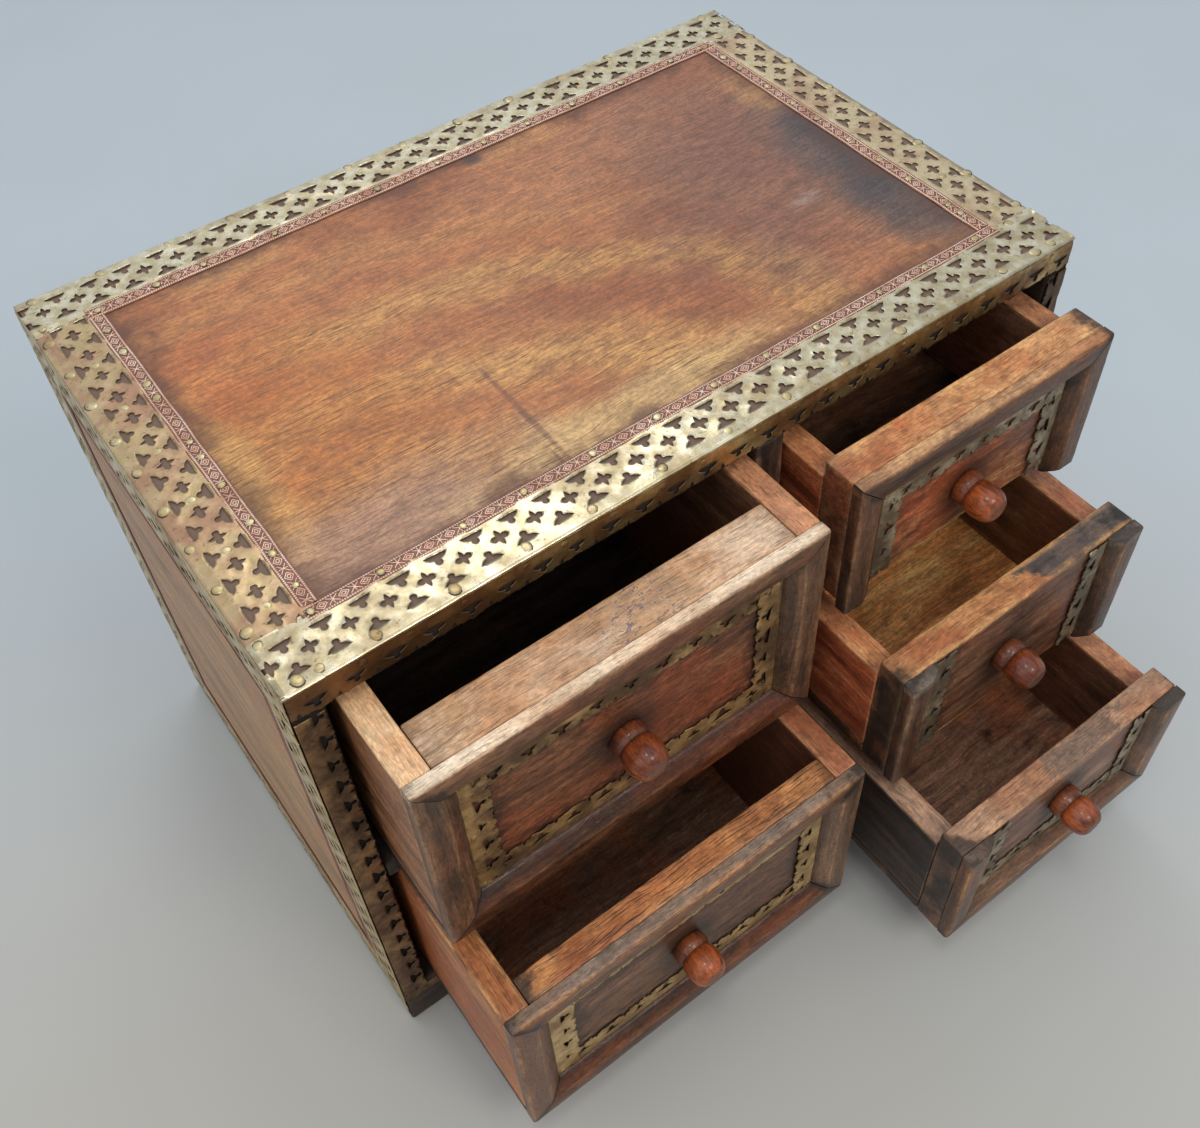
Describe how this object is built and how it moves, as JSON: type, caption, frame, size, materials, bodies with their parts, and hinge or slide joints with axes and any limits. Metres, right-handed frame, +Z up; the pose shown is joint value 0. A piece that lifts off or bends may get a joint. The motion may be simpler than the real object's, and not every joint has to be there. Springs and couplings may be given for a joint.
{
  "type": "tabletop chest of drawers",
  "caption": "Low wooden tabletop chest with sliding drawers in unequal columns, turned knobs, bevelled mouldings, pierced brass edge strips and a copper border on the top.",
  "frame": {"origin": "centre of the base board's underside", "axes": "+Z up, the drawer fronts face -Y and the drawers pull out along -Y, +X to the viewer's right"},
  "size_m": [0.403, 0.4162, 0.3064],
  "materials": {
    "top_wood": "worn, waxed reddish brown hardwood with golden streaks",
    "carcase_wood": "dark stained hardwood, dry and worn",
    "drawer_wood": "stained drawer boards, blotchy and worn pale on the top edges",
    "drawer_front_wood": "dark reddish brown panels with a dull wax sheen",
    "moulding_wood": "dark grey-brown mouldings with rubbed edges",
    "knob_wood": "glossy, handled, dark red-brown turned wood",
    "brass": "pierced sheet brass, hand polished and tarnished",
    "copper": "stamped copper strip with a dull pink patina"
  },
  "bodies": {
    "carcase": {"base_board": "carcase_wood", "top_board": "top_wood", "left_side": "carcase_wood", "right_side": "carcase_wood", "back_panel": "carcase_wood", "column_divider": "carcase_wood", "left_shelf": "carcase_wood", "right_lower_shelf": "carcase_wood", "right_upper_shelf": "carcase_wood", "brass_front_strip": "brass", "brass_back_strip": "brass", "brass_left_strip": "brass", "brass_right_strip": "brass", "copper_border": "copper"},
    "upper_left_drawer": {"upper_left_front": "drawer_front_wood", "upper_left_left_side": "drawer_wood", "upper_left_right_side": "drawer_wood", "upper_left_back": "drawer_wood", "upper_left_bottom": "drawer_wood", "upper_left_knob": "knob_wood", "upper_left_top_stick": "moulding_wood", "upper_left_bottom_stick": "moulding_wood", "upper_left_left_stick": "moulding_wood", "upper_left_right_stick": "moulding_wood"},
    "lower_left_drawer": {"lower_left_front": "drawer_front_wood", "lower_left_left_side": "drawer_wood", "lower_left_right_side": "drawer_wood", "lower_left_back": "drawer_wood", "lower_left_bottom": "drawer_wood", "lower_left_knob": "knob_wood", "lower_left_top_stick": "moulding_wood", "lower_left_bottom_stick": "moulding_wood", "lower_left_left_stick": "moulding_wood", "lower_left_right_stick": "moulding_wood"},
    "upper_right_drawer": {"upper_right_front": "drawer_front_wood", "upper_right_left_side": "drawer_wood", "upper_right_right_side": "drawer_wood", "upper_right_back": "drawer_wood", "upper_right_bottom": "drawer_wood", "upper_right_knob": "knob_wood", "upper_right_top_stick": "moulding_wood", "upper_right_left_stick": "moulding_wood", "upper_right_right_stick": "moulding_wood"},
    "middle_right_drawer": {"middle_right_front": "drawer_front_wood", "middle_right_left_side": "drawer_wood", "middle_right_right_side": "drawer_wood", "middle_right_back": "drawer_wood", "middle_right_bottom": "drawer_wood", "middle_right_knob": "knob_wood", "middle_right_left_stick": "moulding_wood", "middle_right_right_stick": "moulding_wood"},
    "lower_right_drawer": {"lower_right_front": "drawer_front_wood", "lower_right_left_side": "drawer_wood", "lower_right_right_side": "drawer_wood", "lower_right_back": "drawer_wood", "lower_right_bottom": "drawer_wood", "lower_right_knob": "knob_wood", "lower_right_bottom_stick": "moulding_wood", "lower_right_left_stick": "moulding_wood", "lower_right_right_stick": "moulding_wood"}
  },
  "joints": [
    {"name": "upper_left_slide", "type": "slide", "parent": "carcase", "child": "upper_left_drawer", "axis": [0, -1, 0], "range_m": [-0.048, 0.142]},
    {"name": "lower_left_slide", "type": "slide", "parent": "carcase", "child": "lower_left_drawer", "axis": [0, -1, 0], "range_m": [-0.0886, 0.1014]},
    {"name": "upper_right_slide", "type": "slide", "parent": "carcase", "child": "upper_right_drawer", "axis": [0, -1, 0], "range_m": [-0.043, 0.147]},
    {"name": "middle_right_slide", "type": "slide", "parent": "carcase", "child": "middle_right_drawer", "axis": [0, -1, 0], "range_m": [-0.089, 0.101]},
    {"name": "lower_right_slide", "type": "slide", "parent": "carcase", "child": "lower_right_drawer", "axis": [0, -1, 0], "range_m": [-0.142, 0.048]}
  ]
}
